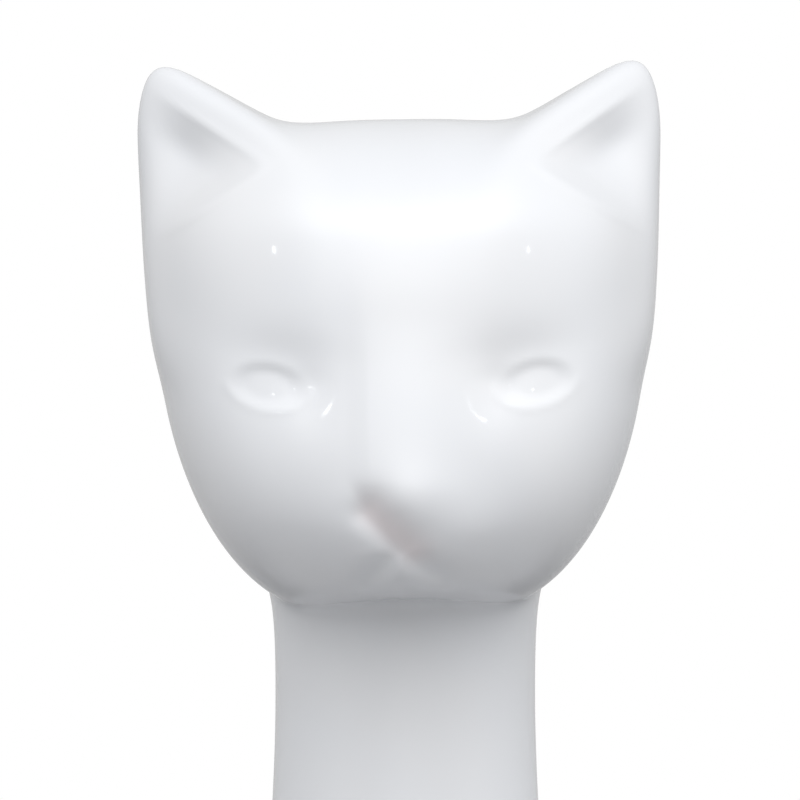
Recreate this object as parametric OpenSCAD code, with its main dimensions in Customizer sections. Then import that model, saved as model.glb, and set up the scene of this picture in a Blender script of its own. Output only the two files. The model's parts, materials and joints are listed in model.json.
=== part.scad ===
// Slim seated cat with a long neck: two glazed ceramic castings joined under the jaw,
// a rubber stopper in the pour hole and four rubber bumpers. The cat faces -Y and +Z is up.
// The origin is the centre of its bounding box, on the table.

/* [Shell] */
// Thickness of the ceramic wall of the head
head_wall = 4; // [3:0.5:5]
// Thickness of the ceramic wall of the neck and body
body_wall = 4; // [3:0.5:5]
// Thickness of the ceramic floor above the foot ring
floor_t = 6; // [5:0.5:8]

/* [Head] */
// Sideways lean of the head, degrees
head_lean = 0.8; // [0:0.2:2]
// Strength of the modelling of the face
face_relief = 1; // [0.4:0.1:1.4]
// Depth of the hollows of the ears, as a share of the full depth
ear_hollow = 1; // [0.2:0.1:1.2]

/* [Neck] */
// Half width of the neck at its narrowest
neck_r = 19.5; // [18.5:0.5:21]
// How far the neck spreads where it meets the head
neck_flare = 2.55; // [1.5:0.05:3]

/* [Pour hole] */
// Diameter of the pour hole in the base
hole_d = 24; // [18:1:28]
// Radial clearance of the stopper in the pour hole
stopper_gap = 0.05; // [0.02:0.01:0.1]
// Height of the plug above the base
plug_h = 12; // [9:0.5:15]

/* [Bumpers] */
// Diameter of a bumper where it is stuck on
bumper_d = 11; // [9:0.5:12]
// Height of a bumper
bumper_h = 2.5; // [2:0.5:4]

/* [Hidden] */

glaze = [0.93, 0.94, 0.95];
grey_rubber = [0.62, 0.62, 0.60];
clear_rubber = [0.80, 0.81, 0.80];

// columns round the figure, rings up it, and halvings when a wall is searched for
cols = 72;
head_rings = 40;
body_rings = 50;
cavity_rings = 12;
halvings = 14;

// the neck axis stands here in the frame, so that the bounding box is centred
neck_at = [-3.6, -7.1, 0];
// the body leans back: its middle at the base lies this far behind the neck axis
body_back = 11;
// the neck is this much deeper than wide
neck_oval = 1.046;
base_z = bumper_h;

// head: middle of the skull, its half width, depth in front and behind, rise and drop
skull_mid = [0, -1, 365];
skull_half = 36.7;
skull_front = 32;
skull_back = 31.5;
cheeks = 10;
crown_rise = 27.4;
jaw_drop = 49;
squareness = 2.16;
flat_face = 2.4;
square_jaw = 1.6;
jaw_lift = 5.4;
eye_at = [19.6, 355];
hollow_deep = 3;
lean_z = 322;

// body outline: height, half width, front, back
stations = [
  [0, 47, -38, 60],
  [20, 48, -38, 62],
  [50, 48, -38, 62],
  [80, 46, -38, 60],
  [110, 43, -37.5, 56],
  [140, 39.5, -36.5, 50.5],
  [170, 35.5, -35, 44],
  [200, 31, -32, 37.5],
  [225, 27.2, -28.6, 32],
  [250, 23.6, -25.4, 27.2],
  [270, 21.3, -22.8, 24],
  [290, 0.5 + neck_r, -0.7 - neck_r * neck_oval, 0.9 + neck_r * neck_oval],
  [305, neck_r, -neck_r * neck_oval, neck_r * neck_oval],
  [340, neck_r, -neck_r * neck_oval, neck_r * neck_oval]
];

// tail: half width and depth of its sweep, height, thickness at the root, where it starts and ends
tail_sweep = [52, 58];
tail_mid_y = 13;
tail_z = 11;
tail_r = 10.5;
tail_root = -70;
tail_end = 142;

// spigot under the head, inside the neck
spigot_r = neck_r - body_wall - 0.3;
spigot_wall = 3;
spigot_z = 314;

// shallow round recess inside the foot ring, so that the stopper's flange is clear of the table
recess_r = 31;
recess_h = 2;
flange_t = 1.6;
flange_w = 4;
plug_wall = 3;
plug_floor = 2.4;
flange_round = 0.6;
plug_lead = [1.2, 2];

// places of the bumpers on the foot ring, from the neck axis, and their taper
front_feet = [14.5, -44];
rear_feet = [27, 42];
bumper_taper = 0.76;

// ---- smooth joining and the basic forms ----

function clamp01(t) = max(0, min(1, t));
function ease(a, b, x) = let (t = clamp01((x - a) / (b - a))) t * t * (3 - 2 * t);
function bell(a, b = 0) = exp(-(a * a + b * b));
function smin(a, b, k) = let (h = max(k - abs(a - b), 0) / k) min(a, b) - h * h * h * k / 6;
function smax(a, b, k) = -smin(-a, -b, k);
function flip(p) = [abs(p.x), p.y, p.z];

// rough distance to an ellipsoid, negative inside
function egg(p, c, r) =
  let (q = [(p.x - c.x) / r.x, (p.y - c.y) / r.y, (p.z - c.z) / r.z])
  let (k = norm(q) + 1e-6, s = norm([q.x / r.x, q.y / r.y, q.z / r.z]) + 1e-6)
  k * (k - 1) / s;

// distance to a rod with round ends and a different radius at each end
function rod(p, a, b, ra, rb) =
  let (u = b - a, h = clamp01((p - a) * u / (u * u)))
  norm(p - a - h * u) - (ra + (rb - ra) * h);

// 1 on a straight stroke from a to b, seen from the front; the fall on its left and on its
// right has a width of its own
function crease(x, z, a, b, left, right) =
  let (u = b - a, p = [x, z] - a, across = (p.y * u.x - p.x * u.y) / norm(u))
  let (far = norm(p - clamp01(p * u / (u * u)) * u))
  bell(far / (right + (left - right) * ease(-1.2, 1.2, across)));

// ---- head ----

// the half depth in front grows by the cheeks on the way down; in front the plan is flatter
// and the jaw squarer
function skull(p) =
  let (x = p.x / skull_half, y = p.y - skull_mid.y, z = p.z - skull_mid.z)
  let (front = skull_front + cheeks * (1 - ease(-37, 11, z)))
  let (v = y / (y < 0 ? front : skull_back), m = y < 0 ? flat_face : 2)
  let (rho = pow(pow(abs(x), m) + pow(abs(v), m), 1 / m) + 1e-6)
  let (square = y < 0 ? v * v / (rho * rho) : 0)
  let (n = squareness + (z < 0 ? square_jaw * square : 0.8 * x * x / (rho * rho)))
  let (w = abs(z) / (z < 0 ? jaw_drop - jaw_lift * square : crown_rise))
  (pow(pow(rho, n) + pow(w, n), 1 / n) - 1) * skull_front;

// distance in the front view past the line through a point; way is the direction that counts as past
function beyond(x, z, through, way) = ([x, z] - through) * way / norm(way);

// an ear: past its top, its outer side, its root, its inner side, its front or its back
function ear(q) =
  let (top = beyond(q.x, q.z, [25, 396.1], [-0.5, 0.866]))
  let (outer = beyond(q.x, q.z, [40.2, 391], [1, -0.145]))
  let (root = smax(beyond(q.x, q.z, [30, 359], [-0.3, -1]), 15 - q.x, 10))
  let (front = (-18.5 + 0.74 * (q.x - 20) + 0.3 * (q.z - 385) - q.y) * 0.78)
  let (behind = (q.y - 7 - 0.12 * (398 - q.z) + 0.45 * (q.x - 30)) * 0.9)
  smax(smax(smax(smax(top, outer, 11), front, 7), behind, 8), root, 12);

function plain_head(p) =
  smin(smin(skull(p), ear(flip(p)), 8), rod(p, [0, -19.5, 362], [0, -31, 337], 9.5, 8), 12);

// an oval let into the face: softly under the fold of the brow, more crisply at the lower lid
function eyes(x, z) =
  let (a = abs(x) - eye_at.x, h = z - eye_at.y - 0.1 * a, r = norm([a / 4.1, h / 2.4]))
  let (lower = ease(-0.2, 0.5, -h / 2.4))
  let (inside = 1 - ease(0.7, 1.5 + 0.2 * lower, r))
  let (brow = 0.9 * bell((a + 2.6) / 8.5, (h - 3.8) / (h < 3.8 ? 7.5 : 4.2)))
  let (corner = 0.6 * bell((a + 6) / 3.2, (h - 0.6) / (h < 0.6 ? 5.5 : 3)))
  0.06 * lower * bell((r - 1.5) / 0.2) - 0.5 * inside - brow - corner;

// bridge, nose and pads; the nose rolls under into a slanting crease that runs down to the
// mouth, and a shorter crease leaves it to the other side
function muzzle(x, z) =
  let (flanks = (1 - ease(4.6, 8.6, -x)) * (1 - ease(3, 15, x)))
  let (bridge = 0.42 * flanks * ease(334, 342, z) * (1 - ease(352, 374, z)))
  let (nose = 0.55 * bell((x - 2.4) / 5.6, (z - 338.5) / 5))
  let (left_pad = 0.4 * bell((x + 7.2) / 4.4, (z - 332.4) / 4.4))
  let (right_pad = 0.6 * bell((x - 9) / 5.6, (z - 333) / 5))
  let (under = 1.5 * crease(x, z, [-4.6, 337.8], [0.2, 331.2], 3.3, 2.6))
  let (mouth = 0.8 * crease(x, z, [0.2, 331.2], [6.6, 326], 2.6, 2))
  let (lip = 0.6 * crease(x, z, [-0.4, 330.6], [-5.4, 326.2], 1.8, 2.2))
  bridge + nose + left_pad + right_pad - max(under, mouth, lip);

// depth of the three-cornered hollow of an ear, deepest under the tip
function hollow(p) =
  let (a = abs(p.x))
  let (top = -beyond(a, p.z, [21.4, 387.6], [-0.52, 0.854]))
  let (side = -beyond(a, p.z, [38.4, 389], [1, -0.05]))
  let (cheek = -beyond(a, p.z, [22, 385.2], [-0.547, -0.837]))
  let (deep = hollow_deep * (0.42 + 0.58 * ease(374, 391, p.z)))
  deep * ease(-0.7, 5.2, top) * ease(-0.8, 9, side) * ease(-0.7, 3, cheek);

// from the frame of the leaning head to the upright one of its formulas, and back
function turn_y(p, a) =
  let (x = p.x, z = p.z - lean_z)
  [x * cos(a) + z * sin(a), p.y, lean_z - x * sin(a) + z * cos(a)];
function head_field(p) = plain_head(turn_y(p, head_lean));

// a point of the plain head, moved in or out along Y by the face and the ears
function carved(p) =
  let (d = [0, 0.5, 0], ny = head_field(p - d) - head_field(p + d))
  let (q = turn_y(p, head_lean))
  let (out = (eyes(q.x, q.z) + muzzle(q.x, q.z)) * face_relief * ease(0.05, 0.45, ny))
  let (deep = hollow(q) * ear_hollow * ease(0, 0.35, ny))
  turn_y([q.x, q.y - out + deep, q.z], -head_lean);

// ---- body ----

function gap(z, i = 0) = i >= len(stations) - 2 || z < stations[i + 1][0] ? i : gap(z, i + 1);
function slope(i, k) =
  let (a = max(i - 1, 0), b = min(i + 1, len(stations) - 1))
  (stations[b][k] - stations[a][k]) / (stations[b][0] - stations[a][0]);
function along(z, k) =
  let (i = gap(z), h = stations[i + 1][0] - stations[i][0])
  let (t = clamp01((z - stations[i][0]) / h), s = 1 - t)
  let (ends = (1 + 2 * t) * s * s * stations[i][k] + t * t * (3 - 2 * t) * stations[i + 1][k])
  ends + t * s * h * (s * slope(i, k) - t * slope(i + 1, k));
function section(z) = [along(z, 1), along(z, 2), along(z, 3)];

function torso(p, s) =
  (norm([p.x / s[0], (2 * p.y - s[1] - s[2]) / (s[2] - s[1])]) - 1) * s[0];

function tail(p) =
  let (raw = atan2(p.x / tail_sweep.x, (p.y - tail_mid_y) / tail_sweep.y))
  let (t = max(tail_root, min(tail_end, raw < -110 ? raw + 360 : raw)))
  let (in = 1 - 0.5 * (1 - ease(tail_root, 40, t)))
  let (axis = [in * tail_sweep.x * sin(t), tail_mid_y + in * tail_sweep.y * cos(t), tail_z])
  norm(p - axis) - (tail_r - 3.2 * pow(clamp01(t / tail_end), 1.5));

function body_field(p, s) =
  let (q = flip(p))
  let (trunk = smin(torso(p, s), egg(q, [27, 22, 48], [26, 38, 52]), 16))
  let (legs = smin(trunk, rod(q, [8, -17, 190], [14, -37.5, 16], 8.5, 11.5), 7))
  let (paws = smin(legs, egg(q, [14.6, -46, 11], [12, 15.5, 11]), 6))
  let (hind = smin(paws, egg(q, [41, -6, 11], [12.5, 28, 12]), 7))
  smax(smin(hind, tail(p), 4), base_z - p.z, 5);

// ---- walls found along rays ----

function wall_at(field, lo, hi, n) =
  let (m = (lo + hi) / 2)
  n == 0 ? m : (field(m) < 0 ? wall_at(field, m, hi, n - 1) : wall_at(field, lo, m, n - 1));
function heading(i) = [sin(360 * i / cols), -cos(360 * i / cols), 0];
function oval(i, r) = [r * sin(360 * i / cols), -r * neck_oval * cos(360 * i / cols), 0];

// height at which the underside of the head meets the spread rim of the neck
seam_r = neck_r + neck_flare;
seam = [
  for (i = [0 : cols - 1])
    let (p = oval(i, seam_r))
    wall_at(function (z) -head_field([p.x, p.y, z]), lean_z - 10, lean_z + 23, halvings)
];

// one ray of the head: it starts on a short line in the skull and tilts from seam to crown
head_foot = [0, -2, 350];
head_rise = 26;
function head_ray(i, t) =
  let (p = oval(i, seam_r) + [0, 0, seam[i]] - head_foot)
  let (side = norm([p.x, p.y]), w0 = atan2(side, -p.z), w = w0 + (180 - w0) * t)
  [head_foot + [0, 0, head_rise * t], [sin(w) * p.x / side, sin(w) * p.y / side, -cos(w)]];
function head_point(i, t, inset) =
  let (ray = head_ray(i, t))
  let (r = wall_at(function (r) head_field(ray[0] + r * ray[1]) + inset, 2, 75, halvings))
  ray[0] + r * ray[1];

// outward spread of the neck, a distance below the seam
function flare(d) = (neck_flare - 0.8) * exp(-d / 4.5) + 0.8 * exp(-d / 0.8);
// share of the height of a ring: close rings at the base and at the seam
function ring_share(t) = t < 0.3 ? 0.12 * pow(t / 0.3, 1.3) : 0.12 + 0.88 * sin(90 * (t - 0.3) / 0.7);
function body_point(i, t) =
  let (z = base_z + 0.05 + (seam[i] - base_z - 0.05) * ring_share(t))
  let (c = [0, body_back * clamp01((300 - z) / 300), z], d = oval(i, 1), s = section(z))
  let (r = wall_at(function (r) body_field(c + r * d, s), 0, 105, halvings))
  [c.x, c.y, t == 0 ? base_z : z] + (r + flare(seam[i] - z)) * d;

// cavity of the body: the trunk's own outline, moved in by the wall
cavity_top = neck_r - body_wall;
function cavity_point(i, t) =
  let (low = base_z + floor_t)
  let (z = low + (seam[i] - low) * pow(t, 0.8))
  let (s = section(z), c = [0, (s[1] + s[2]) / 2, z], d = heading(i))
  let (corner = 7 * pow(1 - clamp01((z - low) / 12), 2))
  let (w = body_wall + corner, deep = (s[2] - s[1]) / 2 - w)
  let (round = ease(285, 305, z))
  c + [d.x * (s[0] - w), d.y * (deep + (cavity_top - deep) * round), 0];

// ---- closed skins ----

// rings of equal size between a first and a last single point
function skin_points(first, rings, last) = concat([first], [for (r = rings) each r], [last]);
function skin_faces(n) =
  let (last = n * cols + 1)
  concat(
    [for (i = [0 : cols - 1]) [0, 1 + (i + 1) % cols, 1 + i]],
    [for (k = [0 : n - 2], i = [0 : cols - 1], h = [0, 1])
      let (a = 1 + k * cols + i, b = 1 + k * cols + (i + 1) % cols)
      h == 0 ? [a, b, b + cols] : [a, b + cols, a + cols]],
    [for (i = [0 : cols - 1]) [last, last - cols + i, last - cols + (i + 1) % cols]]
  );
module skin(first, rings, last) {
  polyhedron(skin_points(first, rings, last), skin_faces(len(rings)), convexity = 8);
}
function level_ring(r, z) = [for (i = [0 : cols - 1]) r * heading(i) + [0, 0, z]];
function seam_ring(r, up = 0) = [for (i = [0 : cols - 1]) r * heading(i) + [0, 0, seam[i] + up]];

module head_casting() {
  outside = [
    for (k = [head_rings - 1 : -1 : 0])
      [for (i = [0 : cols - 1])
        k == 0 ? oval(i, seam_r) + [0, 0, seam[i]] : carved(head_point(i, k / head_rings, 0))]
  ];
  inside = [
    for (k = [0 : cavity_rings - 1])
      [for (i = [0 : cols - 1]) head_point(i, 0.1 + 0.9 * k / cavity_rings, head_wall)]
  ];
  bore = spigot_r - spigot_wall;
  top = carved(head_point(0, 1, 0));
  ceiling = head_point(0, 1, head_wall);
  spigot = [
    seam_ring(spigot_r),
    level_ring(spigot_r, spigot_z),
    level_ring(bore, spigot_z),
    seam_ring(bore, head_wall)
  ];
  color(glaze) translate(neck_at) skin(top, concat(outside, spigot, inside), ceiling);
}

module body_casting() {
  outside = [
    for (k = [body_rings : -1 : 0])
      [for (i = [0 : cols - 1]) body_point(i, k / body_rings)]
  ];
  inside = [
    for (k = [0 : cavity_rings * 2])
      [for (i = [0 : cols - 1]) cavity_point(i, k / (cavity_rings * 2))]
  ];
  hole_at = [0, body_back, 0];
  color(glaze) translate(neck_at) difference() {
    skin([0, body_back, base_z + floor_t], concat(inside, outside), [0, body_back, base_z]);
    translate(hole_at) cylinder(h = base_z + floor_t + 5, d = hole_d, $fn = 96);
    translate(hole_at) cylinder(h = base_z + recess_h, r = recess_r, $fn = 128);
  }
}

module pour_hole_stopper() {
  plug_r = hole_d / 2 - stopper_gap;
  top = base_z + plug_h;
  roof = base_z + recess_h;
  rim_r = plug_r + flange_w;
  cup_r = plug_r - plug_wall;
  color(grey_rubber) translate(neck_at + [0, body_back, 0]) rotate_extrude($fn = 96)
    polygon([
      [0, roof - flange_t],
      [rim_r - flange_round, roof - flange_t],
      [rim_r, roof - flange_t + flange_round],
      [rim_r, roof],
      [plug_r, roof],
      [plug_r, top - plug_lead.y],
      [plug_r - plug_lead.x, top],
      [cup_r, top],
      [cup_r, roof + plug_floor],
      [0, roof + plug_floor]
    ]);
}

module bumper(at) {
  color(clear_rubber) translate(neck_at + [at.x, at.y, 0])
    cylinder(h = bumper_h, d1 = bumper_d * bumper_taper, d2 = bumper_d, $fn = 64);
}
module foot_front_left() { bumper([-front_feet.x, front_feet.y]); }
module foot_front_right() { bumper(front_feet); }
module foot_rear_left() { bumper([-rear_feet.x, rear_feet.y]); }
module foot_rear_right() { bumper(rear_feet); }

head_casting();
body_casting();
pour_hole_stopper();
foot_front_left();
foot_front_right();
foot_rear_left();
foot_rear_right();
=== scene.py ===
# %% [markdown]
# # A long-necked ceramic cat
#
# The real object is slip-cast: liquid clay is poured into plaster moulds, left until a wall
# about 4 mm thick has set, and the rest is poured out. The head and the body are cast apart,
# joined with slip under the jaw, glazed all over and fired. So nearly everything you see is
# one smooth, thick, glassy skin. This lesson builds that skin from formulas, then gives it a
# glaze, and adds the rubber fittings under the base.

import json
import math

import bpy
import numpy as np
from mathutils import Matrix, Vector

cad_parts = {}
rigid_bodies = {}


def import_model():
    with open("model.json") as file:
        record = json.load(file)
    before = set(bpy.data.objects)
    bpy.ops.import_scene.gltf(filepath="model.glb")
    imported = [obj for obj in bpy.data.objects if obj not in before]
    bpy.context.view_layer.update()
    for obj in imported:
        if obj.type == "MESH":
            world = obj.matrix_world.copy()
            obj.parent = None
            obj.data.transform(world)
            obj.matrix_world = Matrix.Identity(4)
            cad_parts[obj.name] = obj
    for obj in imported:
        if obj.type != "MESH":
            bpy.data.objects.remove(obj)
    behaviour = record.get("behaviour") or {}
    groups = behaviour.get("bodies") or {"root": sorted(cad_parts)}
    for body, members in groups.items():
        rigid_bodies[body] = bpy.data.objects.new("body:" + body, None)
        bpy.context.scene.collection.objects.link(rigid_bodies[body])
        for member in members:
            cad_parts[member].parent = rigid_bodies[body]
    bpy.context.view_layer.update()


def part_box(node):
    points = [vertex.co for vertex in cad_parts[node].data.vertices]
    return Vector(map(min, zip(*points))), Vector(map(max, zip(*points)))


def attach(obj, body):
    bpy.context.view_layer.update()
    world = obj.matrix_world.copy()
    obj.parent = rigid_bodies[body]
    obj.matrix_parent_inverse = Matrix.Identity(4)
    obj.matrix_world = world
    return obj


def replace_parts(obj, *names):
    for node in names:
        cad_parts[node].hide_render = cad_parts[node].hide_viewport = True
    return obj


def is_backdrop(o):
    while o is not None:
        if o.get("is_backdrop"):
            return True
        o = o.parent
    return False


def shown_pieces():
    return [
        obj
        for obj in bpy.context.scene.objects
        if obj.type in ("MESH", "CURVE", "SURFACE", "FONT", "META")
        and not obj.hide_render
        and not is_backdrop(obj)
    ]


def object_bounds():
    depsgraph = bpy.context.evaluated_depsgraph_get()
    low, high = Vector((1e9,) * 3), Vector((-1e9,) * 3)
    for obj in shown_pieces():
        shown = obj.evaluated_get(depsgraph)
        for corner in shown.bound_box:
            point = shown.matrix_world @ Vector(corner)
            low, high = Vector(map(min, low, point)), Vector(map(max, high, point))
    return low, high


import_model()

# %% [markdown]
# ## Where things are
#
# All shapes below are worked out in millimetres round the axis of the neck, with the cat
# facing -Y. The CAD frame has its origin under the middle of the whole box instead, so one
# shift is measured from the CAD stopper, which sits under the middle of the body.

# %% Measure the shift and the base
BODY_BACK = 11.0
stopper_low, stopper_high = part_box("pour_hole_stopper")
NECK_AT = np.array([
    (stopper_low.x + stopper_high.x) * 500.0,
    (stopper_low.y + stopper_high.y) * 500.0 - BODY_BACK,
    0.0,
])
BASE_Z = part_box("body_casting")[0].z * 1000.0
print("neck axis at", NECK_AT.round(2), "base at", round(BASE_Z, 2))

# %% [markdown]
# ## Soft joins
#
# Clay forms run into each other with a fillet, never with a hard line. A smooth minimum
# does that for two distance functions: far from the join it is the plain minimum, and
# within a width k of it a cubic rounds the corner off.

# %% Smooth joins and easing


def smin(a, b, k):
    """Smaller of a and b, less h^3 k / 6, where h is how far they are within k of each other."""
    h = np.maximum(k - np.abs(a - b), 0) / k
    return np.minimum(a, b) - h * h * h * k / 6


def smax(a, b, k):
    """Larger of a and b with the same rounded corner."""
    return -smin(-a, -b, k)


def ease(a, b, x):
    """0 below a, 1 above b, and 3t^2 - 2t^3 between."""
    t = np.clip((x - a) / (b - a), 0, 1)
    return t * t * (3 - 2 * t)


def bell(a, b=0.0):
    """exp(-(a^2 + b^2)), a soft round hump."""
    return np.exp(-(a * a + b * b))


print("two walls 3 mm off, joined over 6 mm:", smin(np.array(3.0), np.array(3.0), 6.0), "mm")

# %% [markdown]
# ## Basic forms
#
# Two forms are enough for the whole cat: an egg with three radii and a rod with round ends
# that may differ. Each function gives a distance that is negative inside the form.

# %% Egg and rod


def egg(p, centre, radii):
    """k (k - 1) / |q / r|, where q = (p - centre) / r and k = |q|: nearly the distance to an egg."""
    q = (p - np.array(centre)) / np.array(radii)
    k = np.sqrt((q * q).sum(-1)) + 1e-9
    s = np.sqrt(((q / np.array(radii)) ** 2).sum(-1)) + 1e-9
    return k * (k - 1) / s


def rod(p, a, b, ra, rb):
    """Distance to the line from a to b, less a radius that runs evenly from ra to rb."""
    a, u = np.array(a, float), np.array(b, float) - np.array(a, float)
    h = np.clip(((p - a) @ u) / (u @ u), 0, 1)
    return np.linalg.norm(p - a - h[..., None] * u, axis=-1) - (ra + (rb - ra) * h)


def flip(p):
    """The point moved to the +X side, for forms that come in pairs."""
    return np.stack([np.abs(p[..., 0]), p[..., 1], p[..., 2]], -1)


print("10 mm outside a round egg:", egg(np.array([[30.0, 0, 0]]), (0, 0, 0), (20, 20, 20)).round(2))

# %% [markdown]
# ## The head without its face
#
# The skull is a superellipsoid: round below, where the face narrows to the jaw, and squarer
# above, where the crown between the ears is nearly flat. Each ear is a wedge cut by six
# planes, with every edge between two planes well rounded. A short thick rod under the brow
# is the start of the muzzle.

# %% Skull and ears
SKULL_HALF, SKULL_FRONT, SKULL_BACK, CHEEKS = 36.7, 32.0, 31.5, 10.0
CROWN_RISE, JAW_DROP, SKULL_Y, SKULL_Z = 27.4, 49.0, -1.0, 365.0
SQUARE_JAW, JAW_LIFT, FLAT_FACE = 1.6, 5.4, 2.4
# each edge of an ear: a point on it and the direction out of the ear
EAR_TOP = (25.0, 396.1), (-0.50, 0.866)
EAR_OUTER = (40.2, 391.0), (1.0, -0.145)
EAR_ROOT = (30.0, 359.0), (-0.3, -1.0)
EAR_INNER_X = 15.0
MUZZLE_FROM, MUZZLE_TO = (0, -19.5, 362), (0, -31.0, 337)


def skull(p):
    """(rho^n + w^n)^(1/n) - 1, where w is the height over its half axis and rho = (x^m + y^m)^(1/m)
    is the same in plan. The half axis in front grows by CHEEKS on the way down, so that the lower
    face stands forward. FLAT_FACE is m in front; n grows there too, which squares the jaw."""
    x, y, z = p[..., 0] / SKULL_HALF, p[..., 1] - SKULL_Y, p[..., 2] - SKULL_Z
    front = SKULL_FRONT + CHEEKS * (1 - ease(-37, 11, z))
    y = y / np.where(y < 0, front, SKULL_BACK)
    m = np.where(y < 0, FLAT_FACE, 2.0)
    rho = (np.abs(x) ** m + np.abs(y) ** m) ** (1 / m) + 1e-9
    square = np.where(y < 0, y * y, 0) / (rho * rho)
    n = 2.16 + np.where(z < 0, SQUARE_JAW * square, 0.8 * x * x / (rho * rho))
    w = np.abs(z) / np.where(z < 0, JAW_DROP - JAW_LIFT * square, CROWN_RISE)
    return ((rho**n + w**n) ** (1 / n) - 1) * SKULL_FRONT


def beyond(x, z, through, way):
    """Distance past a line in the front view; way is the direction that counts as past."""
    return ((x - through[0]) * way[0] + (z - through[1]) * way[1]) / math.hypot(*way)


def ear(q):
    """The largest of six distances: past the top edge, the outer edge, the root, the inner side,
    the front and the back. Front and back are planes that slope with x and z, so each is scaled
    by the length of its slope."""
    x, y, z = q[..., 0], q[..., 1], q[..., 2]
    top = beyond(x, z, *EAR_TOP)
    outer = beyond(x, z, *EAR_OUTER)
    root = smax(beyond(x, z, *EAR_ROOT), EAR_INNER_X - x, 10)
    front = (-18.5 + 0.74 * (x - 20) + 0.30 * (z - 385) - y) * 0.78
    behind = (y - 7.0 - 0.12 * (398 - z) + 0.45 * (x - 30)) * 0.9
    return smax(smax(smax(smax(top, outer, 11), front, 7), behind, 8), root, 12)


def plain_head(p):
    """Skull, ears and muzzle, each joined to the last with its own fillet."""
    form = smin(skull(p), ear(flip(p)), 8)
    return smin(form, rod(p, MUZZLE_FROM, MUZZLE_TO, 9.5, 8), 12)


print("depth of the middle of the head:", plain_head(np.array([[0.0, 0.0, 360.0]])).round(1))

# %% [markdown]
# ## The face
#
# A sculptor models this face in very low relief, and the thick glaze then floods it, so
# every edge is soft. Relief like that is a height over the plain head, seen from the front:
# low humps for the bridge, the nose, the pads and the chin, ovals let in for the eyes, and
# creases under the nose and along the mouth.

# %% Relief of the face
EYE_X, EYE_Z, EYE_HALF_WIDE, EYE_HALF_HIGH = 19.6, 355.0, 4.1, 2.4
SOCKET_DEEP, BROW_DEEP, CORNER_DEEP, LID_HIGH = 0.5, 0.9, 0.6, 0.11
BRIDGE_HIGH, NOSE_HIGH, CHIN_HIGH, LEFT_PAD_HIGH, RIGHT_PAD_HIGH = 0.42, 0.55, 0.5, 0.16, 0.6
CREASE_DEEP, MOUTH_DEEP, LIP_DEEP = 1.3, 1.0, 0.9
CREASE_TOP, CREASE_FOOT, MOUTH_END = (-5.2, 336.9), (-0.7, 331.7), (6.2, 325.8)
LIP_START, LIP_END = (-1.2, 331.0), (-6.0, 325.8)


def stroke(x, z, a, b):
    """Distance in the front view from (x, z) to the straight stroke from a to b, and the side it
    lies on: positive to the left of the way from a to b."""
    ux, uz = b[0] - a[0], b[1] - a[1]
    t = np.clip(((x - a[0]) * ux + (z - a[1]) * uz) / (ux * ux + uz * uz), 0, 1)
    side = ((z - a[1]) * ux - (x - a[0]) * uz) / math.hypot(ux, uz)
    return np.hypot(x - a[0] - t * ux, z - a[1] - t * uz), side


def crease(x, z, a, b, left, right):
    """1 on the stroke; the fall on its left and on its right has a width of its own."""
    far, side = stroke(x, z, a, b)
    return bell(far / (right + (left - right) * ease(-1.2, 1.2, side)))


def eyes(x, z):
    """An oval let into the face: softly under the fold of the brow, crisply at the lower lid."""
    a = np.abs(x) - EYE_X
    h = z - EYE_Z - 0.1 * a
    oval_r = np.hypot(a / EYE_HALF_WIDE, h / EYE_HALF_HIGH)
    lower = ease(-0.2, 0.5, -h / EYE_HALF_HIGH)
    inside = 1 - ease(0.7, 1.5 + 0.1 * lower, oval_r)
    brow = BROW_DEEP * bell((a + 2.6) / 8.5, (h - 3.8) / np.where(h < 3.8, 7.5, 4.2))
    corner = CORNER_DEEP * bell((a + 6.0) / 3.2, (h - 0.6) / np.where(h < 0.6, 5.5, 3.0))
    return LID_HIGH * lower * bell((oval_r - 1.5) / 0.2) - SOCKET_DEEP * inside - brow - corner


def muzzle(x, z):
    """Bridge, nose and pads stand out. The nose rolls under into a slanting crease that runs down
    to the mouth; a shorter crease leaves it to the other side, and the chin lies between them."""
    across = (1 - ease(4.6, 8.6, -x)) * (1 - ease(3, 15, x))
    bridge = BRIDGE_HIGH * across * ease(334, 342, z) * (1 - ease(352, 374, z))
    nose = NOSE_HIGH * bell((x - 1.6) / 5.6, (z - 338.5) / 5.0)
    chin = CHIN_HIGH * bell((x - 0.2) / 3.2, (z - 326.2) / 2.6)
    left_pad = LEFT_PAD_HIGH * bell((x + 8.0) / 4.8, (z - 332.0) / 4.6)
    right_pad = RIGHT_PAD_HIGH * bell((x - 9.0) / 5.6, (z - 333.0) / 5.0)
    under = CREASE_DEEP * crease(x, z, CREASE_TOP, CREASE_FOOT, 3.2, 2.4)
    mouth = MOUTH_DEEP * crease(x, z, CREASE_FOOT, MOUTH_END, 2.2, 1.8)
    lip = LIP_DEEP * crease(x, z, LIP_START, LIP_END, 1.6, 2.0)
    return bridge + nose + chin + left_pad + right_pad - np.maximum(under, np.maximum(mouth, lip))


def blush(x, z):
    """Where the colour is made pink and darker, a pink tint with painted shade of the nose: along the
    crease of the nose.
    """
    return crease(x, z, (-4.8, 336.7), (1.2, 331.2), 2.8, 2.0)


def face(x, z):
    """All of the relief, in millimetres towards the front."""
    return eyes(x, z) + muzzle(x, z)


print("relief at the nose:", face(np.array([2.0]), np.array([339.0])).round(2))

# %% [markdown]
# ## The hollows of the ears
#
# Each ear has a soft three-cornered hollow. It drops inside the thick rolled rim, is deepest
# under the tip and fades out slowly towards the cheek.

# %% Hollow of an ear
HOLLOW_DEEP, ROLL_HIGH = 2.6, 0.30
# each side of the hollow: a point on it and the direction out of the hollow
HOLLOW_TOP = (21.4, 387.6), (-0.52, 0.854)
HOLLOW_SIDE = (38.4, 389.0), (1.0, -0.05)
HOLLOW_CHEEK = (22.0, 385.2), (-0.547, -0.837)


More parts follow.
